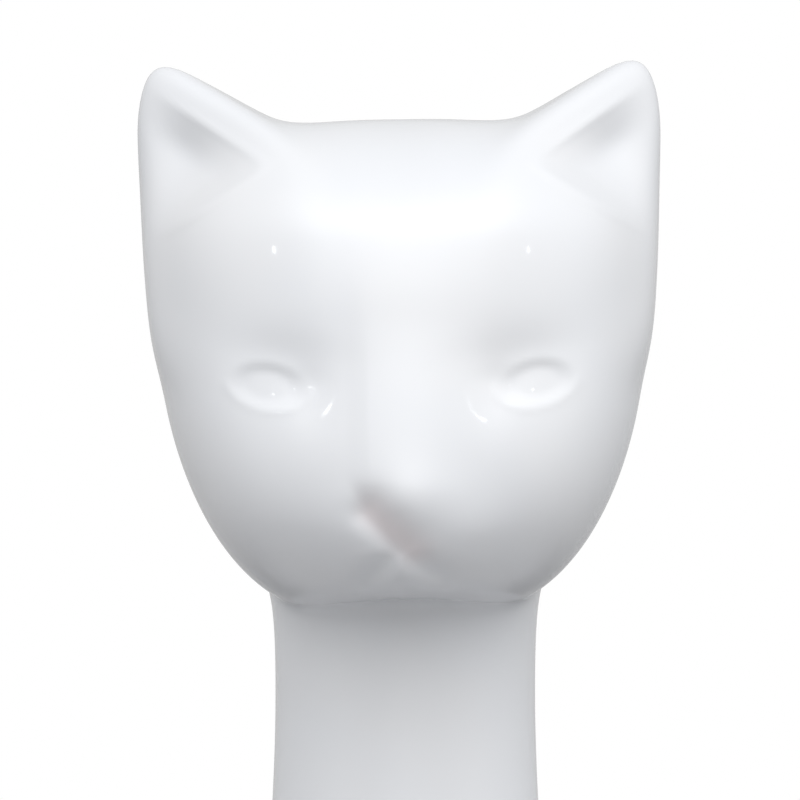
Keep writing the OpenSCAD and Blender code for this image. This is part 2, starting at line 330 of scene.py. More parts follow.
def hollow(p):
    """Depth times three eased fades, one for each side of the triangle, and shallower lower down.
    A narrow roll stands up along the top and the cheek side, strongest near their corner."""
    a, z = np.abs(p[..., 0]), p[..., 2]
    top = -beyond(a, z, *HOLLOW_TOP)
    side = -beyond(a, z, *HOLLOW_SIDE)
    cheek = -beyond(a, z, *HOLLOW_CHEEK)
    deep = HOLLOW_DEEP * (0.42 + 0.58 * ease(374, 391, z))
    deep = deep * ease(-0.7, 6.2, top) * ease(-0.8, 9.0, side) * ease(-0.7, 3.0, cheek)
    edge = smin(top, cheek, 4)
    return deep - ROLL_HIGH * bell((edge + 0.3) / 0.75) * ease(0, 4, side) * (1 - ease(6, 17, a - 22))


print("hollow under the tip:", hollow(np.array([[32.0, -10.0, 387.0]])).round(2))

# %% [markdown]
# ## The lean of the head
#
# The head was set on the neck by hand and leans by less than a degree. The formulas above
# are for an upright head, so points are turned into its frame and back.

# %% Lean and carve
HEAD_LEAN, LEAN_Z = math.radians(0.8), 322.0


def turn_y(p, angle):
    """The point turned about the Y direction at the foot of the head."""
    x, z = p[..., 0], p[..., 2] - LEAN_Z
    c, s = math.cos(angle), math.sin(angle)
    return np.stack([x * c + z * s, p[..., 1], LEAN_Z - x * s + z * c], -1)


def head_field(p):
    """Distance to the plain head, leaning as it does on the neck."""
    return plain_head(turn_y(p, HEAD_LEAN))


def carved(p):
    """Moves points that face forward out by the relief and back by the ear hollow."""
    step = np.array([0, 0.5, 0])
    facing = head_field(p - step) - head_field(p + step)
    q = turn_y(p, HEAD_LEAN)
    q[..., 1] -= face(q[..., 0], q[..., 2]) * ease(0.05, 0.45, facing)
    q[..., 1] += hollow(q) * ease(0, 0.35, facing)
    return turn_y(q, -HEAD_LEAN)


print("crown moved by", round(math.sin(HEAD_LEAN) * (SKULL_Z + CROWN_RISE - LEAN_Z), 2), "mm")

# %% [markdown]
# ## Finding the wall along rays
#
# A distance function says inside or outside, not where the wall is. Halving does: each ray
# is cut in two again and again, always keeping the half in which the sign changes. All rays
# are halved at once as one array.

# %% Halving, and the seam under the jaw
NECK_R, NECK_OVAL, NECK_FLARE = 19.5, 1.046, 2.55
SEAM_R = NECK_R + NECK_FLARE


def wall_at(field, low, high, steps=26):
    """The number between low and high at which field changes from negative to positive."""
    for _ in range(steps):
        middle = (low + high) / 2
        inside = field(middle) < 0
        low, high = np.where(inside, middle, low), np.where(inside, high, middle)
    return (low + high) / 2


def oval(u, r):
    """Plan of the neck at angle u from the front: (r sin u, -1.046 r cos u)."""
    return np.stack([r * np.sin(u), -r * NECK_OVAL * np.cos(u)], -1)


def seam_height(u):
    """Height at which the underside of the head comes down onto the spread rim of the neck."""
    rim = oval(u, SEAM_R)

    def field(z):
        return -head_field(np.concatenate([rim, z[..., None]], -1))

    return wall_at(field, np.full(u.shape, LEAN_Z - 10), np.full(u.shape, LEAN_Z + 23))


print("seam at the front and back:", seam_height(np.array([0.0, np.pi])).round(2))

# %% [markdown]
# ## The two parameters of a skin
#
# Every skin is a grid: columns go round the figure and rings go up it. The columns are
# closer together at the front, where the face is, because a plain even spacing would spend
# most of the points on the smooth back.

# %% Columns


def columns(count, crowding):
    """Angles u - c sin u, which are (1 - c) apart at the front and (1 + c) at the back."""
    u = np.linspace(0, 2 * np.pi, count, endpoint=False)
    return u - crowding * np.sin(u)


HEAD_U = columns(400, 0.42)
BODY_U = columns(360, 0.25)
print("front columns are", round(HEAD_U[1] * 38, 2), "mm apart")

# %% [markdown]
# ## The head's skin
#
# Each ring of the head is a cone of rays. The rays start on a short upright line inside the
# skull and tilt from the seam, through the sides, to the crown. The same rays give the
# cavity: its wall is where the plain head is 4 mm deep.

# %% Rays of the head
HEAD_FOOT, HEAD_RISE, HEAD_WALL = np.array([0.0, -2.0, 350.0]), 26.0, 4.0


def head_rays(u, seam, t):
    """Start and direction of the ray at column u and ring t, where t is 0 at the seam and 1 at the
    crown. The way down to the seam is turned evenly upwards, through the side, to straight up."""
    rim = np.concatenate([oval(u, SEAM_R), seam[..., None]], -1) - HEAD_FOOT
    side = np.hypot(rim[:, 0], rim[:, 1])
    tilt = np.arctan2(side, -rim[:, 2])
    w = tilt + (np.pi - tilt) * t[:, None]
    flat = np.sin(w)[..., None] * (rim[:, :2] / side[:, None])
    start = HEAD_FOOT + np.array([0, 0, HEAD_RISE]) * t[:, None, None]
    return np.broadcast_to(start, w.shape + (3,)), np.concatenate([flat, -np.cos(w)[..., None]], -1)


def head_points(u, seam, t, inset=0.0):
    """start + r direction, with r found by halving where the plain head is inset deep."""
    start, way = head_rays(u, seam, t)
    r = wall_at(
        lambda r: head_field(start + r[..., None] * way) + inset,
        np.full(way.shape[:2], 2.0),
        np.full(way.shape[:2], 75.0),
    )
    return start + r[..., None] * way


print("rays start between heights", HEAD_FOOT[2], "and", HEAD_FOOT[2] + HEAD_RISE)

# %% [markdown]
# ## Closing a skin
#
# A casting is a wall with two sides. Its rings run down the outside, turn in at the rim, and
# run up the inside, between a first and a last single point, so that the solid is closed.

# %% Skin mesh


def skin(name, rings, first=None, last=None, crisp=()):
    """Quads between neighbouring rings, each closed round u, and a fan to a point at each end.
    With no end points the last ring meets the first."""
    rings = np.asarray(rings, float)
    n, m = rings.shape[:2]
    ends = [] if first is None else [np.reshape(first, (1, 3)), np.reshape(last, (1, 3))]
    points = np.concatenate([rings.reshape(-1, 3), *ends])
    k, i = np.meshgrid(np.arange(n if first is None else n - 1), np.arange(m), indexing="ij")
    a, b = k * m + i, k * m + (i + 1) % m
    c, d = (k + 1) % n * m + i, (k + 1) % n * m + (i + 1) % m
    faces = np.stack([a, c, d, b], -1).reshape(-1, 4).tolist()
    if first is not None:
        e, f = np.arange(m), (np.arange(m) + 1) % m
        faces += np.stack([0 * e + n * m, e, f], -1).tolist()
        faces += np.stack([0 * e + n * m + 1, (n - 1) * m + f, (n - 1) * m + e], -1).tolist()
    mesh = bpy.data.meshes.new(name)
    mesh.from_pydata(((points + NECK_AT) / 1000).tolist(), [], faces)
    mesh.polygons.foreach_set("use_smooth", np.ones(len(faces), bool))
    pairs = np.zeros(len(mesh.edges) * 2, int)
    mesh.edges.foreach_get("vertices", pairs)
    ring = np.where(pairs < n * m, pairs // m, -1).reshape(-1, 2)
    sharp = (ring[:, 0] == ring[:, 1]) & np.isin(ring[:, 0], [r % n for r in crisp])
    mesh.attributes.new("sharp_edge", "BOOLEAN", "EDGE").data.foreach_set("value", sharp)
    mesh.update()
    thing = bpy.data.objects.new(name, mesh)
    bpy.context.scene.collection.objects.link(thing)
    print(name, len(points), "points,", sum(len(q) - 2 for q in faces), "triangles")
    return thing


def level(u, r, z):
    """A round ring: (r sin u, -r cos u, z)."""
    return np.stack([r * np.sin(u), -r * np.cos(u), 0 * u + z], -1)


# %% [markdown]
# ## Painted shade in the creases
#
# How hollow a skin is at a point is the bend of the grid there: how far the middle of its
# neighbours lies above it. That number is kept on the mesh, so that the glaze colour can be
# painted darker and cooler in the creases: painted shade where the hollows fall into shadow.

# %% Bend of the grid, for painted shade in the creases


def crease_bend(grid, reach, rounds):
    """((before + after) / 2 - here) . normal / spacing^2 along both parameters, then smoothed."""
    du = np.roll(grid, -1, 1) - np.roll(grid, 1, 1)
    dv = np.gradient(grid, axis=0)
    normal = np.cross(du, dv)
    normal /= np.linalg.norm(normal, axis=-1, keepdims=True) + 1e-9
    padded = np.pad(grid, ((reach, reach), (0, 0), (0, 0)), "edge")
    bend = 0
    for before, after in (
        (np.roll(grid, reach, 1), np.roll(grid, -reach, 1)),
        (padded[: -2 * reach], padded[2 * reach :]),
    ):
        span = np.linalg.norm(after - before, axis=-1) / 2
        bend = bend + (((before + after) / 2 - grid) * normal).sum(-1) / (span * span + 0.05)
    for _ in range(rounds):
        bend = (bend + np.roll(bend, 1, 1) + np.roll(bend, -1, 1)) / 3
        bend[1:-1] = (bend[:-2] + bend[1:-1] + bend[2:]) / 3
    return bend


def keep_value(thing, name, rings):
    """Stores one number per point under a name; points past the given rings get 0."""
    values = np.zeros(len(thing.data.vertices), np.float32)
    flat = np.asarray(rings, np.float32).reshape(-1)
    values[: len(flat)] = flat
    thing.data.attributes.new(name, "FLOAT", "POINT").data.foreach_set("value", values)
    print(name, "on", thing.name, "from", flat.min().round(3), "to", flat.max().round(3))


# %% [markdown]
# ## Build the head
#
# Outside from the crown down to the seam, then the short spigot that goes into the neck, and
# up the inside of the wall to the ceiling of the cavity.

# %% Head
HEAD_RINGS = 205
head_seam = seam_height(HEAD_U)
outer = carved(head_points(HEAD_U, head_seam, np.arange(HEAD_RINGS) / HEAD_RINGS))
outer[0] = np.concatenate([oval(HEAD_U, SEAM_R), head_seam[:, None]], -1)
inner = head_points(HEAD_U, head_seam, 0.1 + 0.9 * np.arange(24) / 24, HEAD_WALL)
crown = carved(head_points(HEAD_U[:1], head_seam[:1], np.array([1.0])))[0, 0]
ceiling = head_points(HEAD_U[:1], head_seam[:1], np.array([1.0]), HEAD_WALL)[0, 0]
SPIGOT_R, SPIGOT_BORE, SPIGOT_Z = NECK_R - 4.3, NECK_R - 7.3, 314.0
spigot = [
    level(HEAD_U, SPIGOT_R, head_seam),
    level(HEAD_U, SPIGOT_R, SPIGOT_Z),
    level(HEAD_U, SPIGOT_BORE, SPIGOT_Z),
    level(HEAD_U, SPIGOT_BORE, head_seam + HEAD_WALL),
]
cat_head = skin("cat_head", [*outer[::-1], *spigot, *inner], crown, ceiling, crisp=[HEAD_RINGS - 1])
# the bend is kept on the mesh for painted shade in the creases of the head
keep_value(cat_head, "pool", -crease_bend(outer[::-1], 3, 4))
upright = turn_y(outer[::-1], HEAD_LEAN)
# a pink tint with painted shade along the crease of the nose
keep_value(cat_head, "blush", blush(upright[..., 0], upright[..., 2]) * (upright[..., 1] < -20))
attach(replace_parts(cat_head, "head_casting"), "figure")
print("seam from", head_seam.min().round(2), "to", head_seam.max().round(2))

# %% [markdown]
# ## The trunk
#
# The neck and trunk are one long tapering oval. A few stations give its half width, front
# and back at chosen heights, and a smooth curve runs through them.

# %% Stations of the trunk
STATIONS = np.array([
    [0, 47, -38, 60],
    [20, 48, -38, 62],
    [50, 48, -38, 62],
    [80, 46, -38, 60],
    [110, 43, -37.5, 56],
    [140, 39.5, -36.5, 50.5],
    [170, 35.5, -35, 44],
    [200, 31, -32, 37.5],
    [225, 27.2, -28.6, 32],
    [250, 23.6, -25.4, 27.2],
    [270, 21.3, -22.8, 24],
    [290, NECK_R + 0.5, -NECK_R * NECK_OVAL - 0.7, NECK_R * NECK_OVAL + 0.9],
    [305, NECK_R, -NECK_R * NECK_OVAL, NECK_R * NECK_OVAL],
    [340, NECK_R, -NECK_R * NECK_OVAL, NECK_R * NECK_OVAL],
])


def section(z):
    """Half width, front and back at height z: a cubic between stations, whose slope at a station
    is that of the line through its two neighbours."""
    s = STATIONS
    i = np.clip(np.searchsorted(s[:, 0], z, side="right") - 1, 0, len(s) - 2)
    before, after = np.maximum(np.arange(len(s)) - 1, 0), np.minimum(np.arange(len(s)) + 1, len(s) - 1)
    slope = (s[after] - s[before]) / (s[after] - s[before])[:, :1]
    h = (s[i + 1, 0] - s[i, 0])[..., None]
    t = np.clip((z[..., None] - s[i, :1]) / h, 0, 1)
    ends = (1 + 2 * t) * (1 - t) ** 2 * s[i, 1:] + t * t * (3 - 2 * t) * s[i + 1, 1:]
    return ends + t * (1 - t) * h * ((1 - t) * slope[i, 1:] - t * slope[i + 1, 1:])


print("half width, front and back 100 mm up:", section(np.array([100.0])).round(1))

# %% [markdown]
# ## Legs, paws, haunches and tail
#
# The front legs grow out of the chest as two rods, the paws and haunches are eggs, and the
# tail is a roll that leaves the rump and lies round one side of the base. Each has its own
# fillet, wide where a real cat has fur over muscle and narrow between the paws.

# %% Body field
TAIL_SWEEP, TAIL_Y, TAIL_Z, TAIL_R, TAIL_TAPER = (52.0, 58.0), 13.0, 11.0, 10.5, 3.2
TAIL_ROOT, TAIL_END = math.radians(-70), math.radians(142)
# eggs as centre and radii, the leg as a rod from shoulder to paw with its two radii
HAUNCH = (27, 22, 48), (26, 38, 52)
LEG = (8, -17, 190), (14, -37.5, 16), 8.5, 11.5
PAW = (14.6, -46, 11), (12, 15.5, 11)
HIND_FOOT = (41, -6, 11), (12.5, 28, 12)


def tail(p):
    """Distance to an oval arc at the base, less a radius that shrinks towards the tip."""
    x, y, z = p[..., 0], p[..., 1] - TAIL_Y, p[..., 2]
    angle = np.arctan2(x / TAIL_SWEEP[0], y / TAIL_SWEEP[1])
    angle = np.where(angle < math.radians(-110), angle + 2 * np.pi, angle)
    t = np.clip(angle, TAIL_ROOT, TAIL_END)
    reach = 1 - 0.5 * (1 - ease(TAIL_ROOT, math.radians(40), t))
    dx, dy = x - reach * TAIL_SWEEP[0] * np.sin(t), y - reach * TAIL_SWEEP[1] * np.cos(t)
    thick = TAIL_R - TAIL_TAPER * np.clip(t / TAIL_END, 0, 1) ** 1.5
    return np.sqrt(dx * dx + dy * dy + (z - TAIL_Z) ** 2) - thick


def body_field(p, s):
    """Trunk, haunches, legs, paws, hind feet and tail, cut off softly at the base."""
    q = flip(p)
    depth = (2 * p[..., 1] - s[..., 1] - s[..., 2]) / (s[..., 2] - s[..., 1])
    form = (np.hypot(p[..., 0] / s[..., 0], depth) - 1) * s[..., 0]
    form = smin(form, egg(q, *HAUNCH), 16)
    form = smin(form, rod(q, *LEG), 7)
    form = smin(form, egg(q, *PAW), 6)
    form = smin(form, egg(q, *HIND_FOOT), 7)
    form = smin(form, tail(p), 4)
    return smax(form, BASE_Z - p[..., 2], 5)


print("tail", 2 * TAIL_R, "mm thick at the root and", 2 * (TAIL_R - TAIL_TAPER), "at the tip")

# %% [markdown]
# ## The body's skin
#
# The rays of the body are level and start on the leaning axis of the trunk. At the top, the
# neck spreads a little to meet the head, as wet clay does when the joint is sponged.

# %% Body points
BODY_RINGS, BODY_WALL, FLOOR_T = 226, 4.0, 6.0
PAW_SHARE, PAW_HEIGHT = 0.3, 0.12
print("rings below a height of", PAW_HEIGHT, "of the body:", round(PAW_SHARE * BODY_RINGS))


def flare(d):
    """Spread of the neck at a distance d below the seam: a wide and a narrow falling curve."""
    return (NECK_FLARE - 0.8) * np.exp(-d / 4.5) + 0.8 * np.exp(-d / 0.8)


def ring_share(t):
    """Share of the height: close rings at the base, then a sine that slows towards the seam."""
    above = np.sin(np.pi / 2 * np.maximum(t - PAW_SHARE, 0) / (1 - PAW_SHARE))
    paws = PAW_HEIGHT * (t / PAW_SHARE) ** 1.3
    return np.where(t < PAW_SHARE, paws, PAW_HEIGHT + (1 - PAW_HEIGHT) * above)


def body_points(u, seam, t):
    """axis + (r + flare) oval(u), with r found by halving."""
    low = BASE_Z + 0.05
    z = low + (seam - low) * ring_share(t)[:, None]
    centre = np.stack([0 * z, BODY_BACK * np.clip((300 - z) / 300, 0, 1), z], -1)
    way = np.concatenate([np.broadcast_to(oval(u, 1.0), z.shape + (2,)), 0 * z[..., None]], -1)
    s = section(z)
    r = wall_at(lambda r: body_field(centre + r[..., None] * way, s), 0 * z, 0 * z + 105)
    return centre + (r + flare(seam - z))[..., None] * way


def cavity_points(u, seam, t):
    """The trunk's own oval moved in by the wall, round at the top and with a soft corner at the floor."""
    low = BASE_Z + FLOOR_T
    z = low + (seam - low) * (t**0.8)[:, None]
    s = section(z)
    wall = BODY_WALL + 7 * (1 - np.clip((z - low) / 12, 0, 1)) ** 2
    deep = (s[..., 2] - s[..., 1]) / 2 - wall
    deep = deep + (NECK_R - BODY_WALL - deep) * ease(285, 305, z)
    return np.stack([np.sin(u) * (s[..., 0] - wall), (s[..., 1] + s[..., 2]) / 2 - np.cos(u) * deep, z], -1)


# %% [markdown]
# ## Build the body
#
# Down the outside from the seam to the base, in under the foot ring, round the pour hole,
# and up the inside. The underside has a shallow round recess, so that the figure stands on
# a ring and the stopper's flange stays clear of the table.

# %% Body
HOLE_R, RECESS_R, RECESS_H = 12.0, 31.0, 2.0
body_seam = seam_height(BODY_U)
shell = body_points(BODY_U, body_seam, np.arange(BODY_RINGS + 1) / BODY_RINGS)
shell[0, :, 2] = BASE_Z


def base_ring(r, z):
    """A round ring about the middle of the body."""
    return level(BODY_U, r, z) + np.array([0, BODY_BACK, 0])


foot_edge = shell[0] + (base_ring(RECESS_R, BASE_Z) - shell[0]) * 0.12
underside = [
    foot_edge,
    base_ring(RECESS_R + 0.4, BASE_Z),
    base_ring(RECESS_R, BASE_Z + 0.4),
    base_ring(RECESS_R - 0.5, BASE_Z + RECESS_H - 0.5),
    base_ring(RECESS_R - 1.2, BASE_Z + RECESS_H),
    base_ring(HOLE_R + 0.5, BASE_Z + RECESS_H),
    base_ring(HOLE_R, BASE_Z + RECESS_H + 0.5),
    base_ring(HOLE_R, BASE_Z + FLOOR_T),
]
cavity = cavity_points(BODY_U, body_seam, np.arange(24) / 23)
cat_body = skin("cat_body", [*shell[::-1], *underside, *cavity], crisp=[0, -1])
# the bend is kept on the mesh for painted shade in the creases of the body
keep_value(cat_body, "pool", -crease_bend(shell[::-1], 3, 4))
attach(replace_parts(cat_body, "body_casting"), "figure")
print("foot ring from", round(float(shell[0, :, 0].min()), 1), "to", round(float(shell[0, :, 0].max()), 1))


# %% [markdown]
# ## Turned rubber pieces
#
# The stopper and the four bumpers are moulded rubber, all round about one axis, so each is
# a profile turned on a lathe. The profile runs from the axis at the top, down the outside,
# to the axis at the bottom, with every corner rounded as a mould leaves it.

# %% Lathe


def lathe(name, profile, centre, count=96):
    """Ring i is (r_i cos v, r_i sin v, z_i); the first and last profile points lie on the axis."""
    v = np.linspace(0, 2 * np.pi, count, endpoint=False)
    shape = np.array(profile, float)
    at = np.array([centre[0], centre[1], 0])
    rings = [level(v, r, z) + at for r, z in shape[1:-1]]
    return skin(name, rings, [*at[:2], shape[0, 1]], [*at[:2], shape[-1, 1]])


def arc(r, z, radius, start, end, count=6):
    """Points of a round corner with its middle at (r, z), from one angle to another in degrees."""
    a = np.radians(np.linspace(start, end, count))
    return list(zip(r + radius * np.cos(a), z + radius * np.sin(a)))


# %% [markdown]
# ## The stopper
#
# A soft grey bung: a thin flange that lies in the recess under the base, a straight plug
# that grips the bare clay of the pour hole, and a hollow cup above it, so that the plug can
# give. A groove near the edge of the flange and a nub in its dished middle give a fingernail
# something to catch on.

# %% Stopper
FLANGE_R = (stopper_high.x - stopper_low.x) * 500
PLUG_R = FLANGE_R - 4
FLANGE_Z, PLUG_TOP = stopper_low.z * 1000, stopper_high.z * 1000
ROOF = BASE_Z + RECESS_H
stopper_profile = [
    (0, ROOF + 2.4),
    (PLUG_R - 4.2, ROOF + 2.4),
    (PLUG_R - 3.2, ROOF + 3.2),
    (PLUG_R - 3, PLUG_TOP - 0.5),
    (PLUG_R - 2.6, PLUG_TOP),
    (PLUG_R - 1.6, PLUG_TOP),
    (PLUG_R - 1.2, PLUG_TOP - 0.3),
    (PLUG_R - 0.1, PLUG_TOP - 2),
    (PLUG_R, PLUG_TOP - 2.4),
    (PLUG_R, ROOF + 0.3),
    (PLUG_R + 0.3, ROOF),
    *arc(FLANGE_R - 0.6, ROOF - 0.6, 0.6, 90, 0),
    *arc(FLANGE_R - 0.7, FLANGE_Z + 0.7, 0.7, 0, -90),
    (FLANGE_R - 2.4, FLANGE_Z),
    (FLANGE_R - 2.8, FLANGE_Z + 0.35),
    (FLANGE_R - 3.6, FLANGE_Z + 0.35),
    (FLANGE_R - 4, FLANGE_Z),
    (6, FLANGE_Z + 0.1),
    (5.2, FLANGE_Z + 0.8),
    (2.8, FLANGE_Z + 0.8),
    (2.2, FLANGE_Z + 0.15),
    (1.4, FLANGE_Z),
    (0, FLANGE_Z),
]
stopper = lathe("stopper", stopper_profile, (0, BODY_BACK))
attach(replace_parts(stopper, "pour_hole_stopper"), "stopper")

# %% [markdown]
# ## The bumpers
#
# Four pale rubber bumpers keep the bare foot ring off the table. Each is wider where its
# adhesive sits and has a slightly dished working face.

# %% Bumpers
for place in ("front_left", "front_right", "rear_left", "rear_right"):
    low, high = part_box("foot_" + place)
    wide, tall = (high.x - low.x) * 500, high.z * 1000
    middle = np.array([(low.x + high.x) * 500, (low.y + high.y) * 500]) - NECK_AT[:2]
    narrow = wide * 0.76
    bumper_profile = [
        (0, tall),
        (wide - 0.15, tall),
        (wide, tall - 0.12),
        (wide - 0.1, tall - 0.35),
        (narrow + 0.25, 0.6),
        *arc(narrow - 0.45, 0.45, 0.45, 15, -90),
        (narrow - 1.2, 0.02),
        (narrow - 1.8, 0.12),
        (0, 0.2),
    ]
    bumper = lathe("bumper_" + place, bumper_profile, middle, 64)
    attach(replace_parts(bumper, "foot_" + place), "figure")

# %% [markdown]
# ## Shader sums
#
# A wire is one socket of a shader. With the arithmetic signs defined for it, a pattern can
# be written as a sum or a product and still becomes ordinary Math nodes.

# %% Wire


def put(socket, value):
    """Sets a socket: a wire is linked to it, anything else becomes its value."""
    if isinstance(value, Wire):
        value.nodes.id_data.links.new(value.socket, socket)
    else:
        socket.default_value = value


class Wire:
    """One shader socket that can stand in a sum."""

    def __init__(self, nodes, socket):
        self.nodes, self.socket = nodes, socket

    def math(self, kind, *others):
        """A Math node of this kind with this wire first."""
        return add_node(self.nodes, "ShaderNodeMath", {"operation": kind}, dict(enumerate([self, *others])))

    def __add__(self, other):
        return self.math("ADD", other)

    def __mul__(self, other):
        return self.math("MULTIPLY", other)

    def __sub__(self, other):
        return self.math("SUBTRACT", other)

    def __rsub__(self, other):
        return self * -1.0 + other

    def __truediv__(self, other):
        return self.math("DIVIDE", other)

    __radd__ = __add__
    __rmul__ = __mul__

    def ramp(self, low, high):
        """0 below low, 1 above high, smooth between."""
        settings = {"interpolation_type": "SMOOTHSTEP"}
        inputs = {"Value": self, "From Min": low, "From Max": high}
        return add_node(self.nodes, "ShaderNodeMapRange", settings, inputs)


def add_node(nodes, kind, settings=None, inputs=None, output=0):
    """Adds a node, sets its settings and sockets, and returns one output as a wire."""
    node = nodes.new(kind)
    for key, value in (settings or {}).items():
        setattr(node, key, value)
    for key, value in (inputs or {}).items():
        put(node.inputs[key], value)
    return Wire(nodes, node.outputs[output])


def mix_colours(nodes, share, a, b):
    """Colour a where share is 0 and b where it is 1."""
    inputs = {0: share, 6: a, 7: b}
    return add_node(nodes, "ShaderNodeMix", {"data_type": "RGBA"}, inputs, 2)


def start_material(name):
    """A new material: its nodes, its Principled node and the object coordinates in metres."""
    material = bpy.data.materials.new(name)
    material.use_nodes = True
    nodes = material.node_tree.nodes
    return material, nodes, nodes["Principled BSDF"], add_node(nodes, "ShaderNodeTexCoord", output="Object")


def noise(nodes, where, scale, detail=2.0):
    """Noise from 0 to 1 with this many lumps to the metre."""
    return add_node(nodes, "ShaderNodeTexNoise", None, {"Vector": where, "Scale": scale, "Detail": detail})


def bump(nodes, height):
    """A normal from a height in metres."""
    return add_node(nodes, "ShaderNodeBump", None, {"Strength": 1.0, "Distance": 1.0, "Height": height})


# %% [markdown]
# ## The glaze
#
# Clear gloss over white clay. Three things keep it from looking like plastic: the surface
# rolls very slightly, because the glaze was once a thick liquid; the colour is a little warmer
# in patches where it ran thin; and here and there a bubble has left a pinhole. The colour is
# also painted darker and cooler in the creases, as painted shade, and the crease of the nose is
# painted pink and a little darker: a pink tint with painted shade under the nose. The foot ring
# was wiped clean of glaze, so it is matt clay.

# %% Glaze
# the last white here is painted shade for the creases
CLAY_WHITE, THIN_WHITE, CREASE_SHADE_WHITE = (0.755, 0.77, 0.80, 1), (0.775, 0.78, 0.795, 1), (0.64, 0.66, 0.70, 1)
# the last colour here is a pink tint with painted shade, for the crease of the nose
BARE_CLAY, PINHOLE, PINK_SHADE_COLOUR = (0.72, 0.66, 0.56, 1), (0.5, 0.49, 0.47, 1), (0.73, 0.68, 0.695, 1)


def glaze_material(name, foot_z=None):
    """Glaze over clay; with foot_z, the clay is bare below that height in metres."""
    material, nodes, surface, where = start_material(name)
    pool = add_node(nodes, "ShaderNodeAttribute", {"attribute_name": "pool"}, output="Fac")
    cloud = noise(nodes, where, 35.0)
    colour = mix_colours(nodes, cloud.ramp(0.3, 0.7) * 0.5, CLAY_WHITE, THIN_WHITE)
    # painted shade: darker and cooler where the skin is hollow
    colour = mix_colours(nodes, pool.ramp(0.02, 0.30), colour, CREASE_SHADE_WHITE)
    # pink tint with painted shade along the crease of the nose
    nose_pink_shade_share = add_node(nodes, "ShaderNodeAttribute", {"attribute_name": "blush"}, output="Fac")
    colour = mix_colours(nodes, nose_pink_shade_share * 0.8, colour, PINK_SHADE_COLOUR)
    cells = {"Vector": where, "Scale": 160.0, "Randomness": 1.0}
    speck = add_node(nodes, "ShaderNodeTexVoronoi", None, cells, "Distance")
    chosen = add_node(nodes, "ShaderNodeTexVoronoi", None, cells, "Color")
    chosen = add_node(nodes, "ShaderNodeSeparateColor", None, {0: chosen}).ramp(0.985, 0.99)
    hole = (1.0 - speck.ramp(0.02, 0.045)) * chosen
    colour = mix_colours(nodes, hole * 0.8, colour, PINHOLE)
    rough = 0.05 + noise(nodes, where, 60.0) * 0.05 + hole * 0.3
    roll = noise(nodes, where, 45.0, 1.0) * 0.00006 + noise(nodes, where, 260.0, 1.0) * 0.0000022
    height = roll - hole * 0.00008
    if foot_z is not None:
        z = add_node(nodes, "ShaderNodeSeparateXYZ", None, {0: where}, 2)
        edge = z + noise(nodes, where, 300.0) * 0.0006
        bare = 1.0 - edge.ramp(foot_z, foot_z + 0.0003)
        colour = mix_colours(nodes, bare, colour, BARE_CLAY)
        rough = rough + bare * 0.75
        height = height + bare * noise(nodes, where, 1800.0, 4.0) * 0.00005
    put(surface.inputs["Base Color"], colour)
    put(surface.inputs["Roughness"], rough)
    put(surface.inputs["Normal"], bump(nodes, height))
    surface.inputs["IOR"].default_value = 1.52
    return material


glazed_head = glaze_material("glaze_head")
glazed_body = glaze_material("glaze_body", BASE_Z / 1000 + 0.0007)
cat_head.data.materials.append(glazed_head)
cat_body.data.materials.append(glazed_body)
print("the glaze has", len(glazed_body.node_tree.nodes), "nodes")

# %% [markdown]
# ## Rubber
#
# Moulded rubber has a fine even grain, hardly any shine, and a bloom of dust in patches.

# %% Rubber


def rubber_material(name, colour, dusty, gloss):
    """A grainy matt surface with patches of dust."""
    material, nodes, surface, where = start_material(name)
    dust = noise(nodes, where, 160.0, 4.0).ramp(0.45, 0.75)
    put(surface.inputs["Base Color"], mix_colours(nodes, dust * 0.5, colour, dusty))
    put(surface.inputs["Roughness"], gloss + dust * 0.15)
    put(surface.inputs["Normal"], bump(nodes, noise(nodes, where, 2500.0, 3.0) * 0.00002))
    return material


RUBBERS = {
    "stopper": rubber_material("stopper_rubber", (0.36, 0.36, 0.35, 1), (0.52, 0.51, 0.49, 1), 0.6),
    "bumper": rubber_material("bumper_rubber", (0.66, 0.67, 0.66, 1), (0.6, 0.59, 0.57, 1), 0.35),
}
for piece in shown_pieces():
    kind = piece.name.split("_")[0]
    if kind in RUBBERS:
        piece.data.materials.append(RUBBERS[kind])
        print(piece.name, "is", kind, "rubber")

# %% [markdown]
# ## The studio
#
# A pale round floor fades into a white surround. The light comes from the surround itself:
# a sum of wide soft lobes, strongest high in front, so that a glossy white shape turns
# smoothly from light to grey without the hard edges of a softbox in it. A few small lamps
# then add the bright ticks that tell the eye that the surface is glazed.

# %% Floor
FLOOR_R = 0.5
PAPER_LIGHT, PAPER_DARK = (0.80, 0.80, 0.81, 1), (0.76, 0.76, 0.77, 1)


def floor_material():
    """Pale paper that turns into plain white light towards the rim."""
    material, nodes, surface, where = start_material("paper")
    far = add_node(nodes, "ShaderNodeVectorMath", {"operation": "LENGTH"}, {0: where}, "Value")
    grain = noise(nodes, where, 900.0, 3.0)
    put(surface.inputs["Base Color"], mix_colours(nodes, grain * 0.3, PAPER_LIGHT, PAPER_DARK))
    put(surface.inputs["Roughness"], 0.7 + grain * 0.1)
    put(surface.inputs["Alpha"], 1.0 - far.ramp(0.25 * FLOOR_R, 0.98 * FLOOR_R))
    return material


v = np.linspace(0, 2 * np.pi, 128, endpoint=False)
rim = np.stack([FLOOR_R * np.cos(v), FLOOR_R * np.sin(v), 0 * v], -1)
floor_mesh = bpy.data.meshes.new("floor")
floor_mesh.from_pydata(rim.tolist(), [], [list(range(len(rim)))])
floor = bpy.data.objects.new("floor", floor_mesh)
floor.data.materials.append(floor_material())
bpy.context.scene.collection.objects.link(floor)
floor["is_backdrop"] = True

# %% [markdown]
# ## The surround
#
# A glossy white shape shows whatever is round it, so the light itself has to be smooth. Each
# lobe below is the cosine of the angle to one direction, raised to a power: a high power
# gives a small bright patch, a low one lights half the room. The camera itself sees plain
# white.

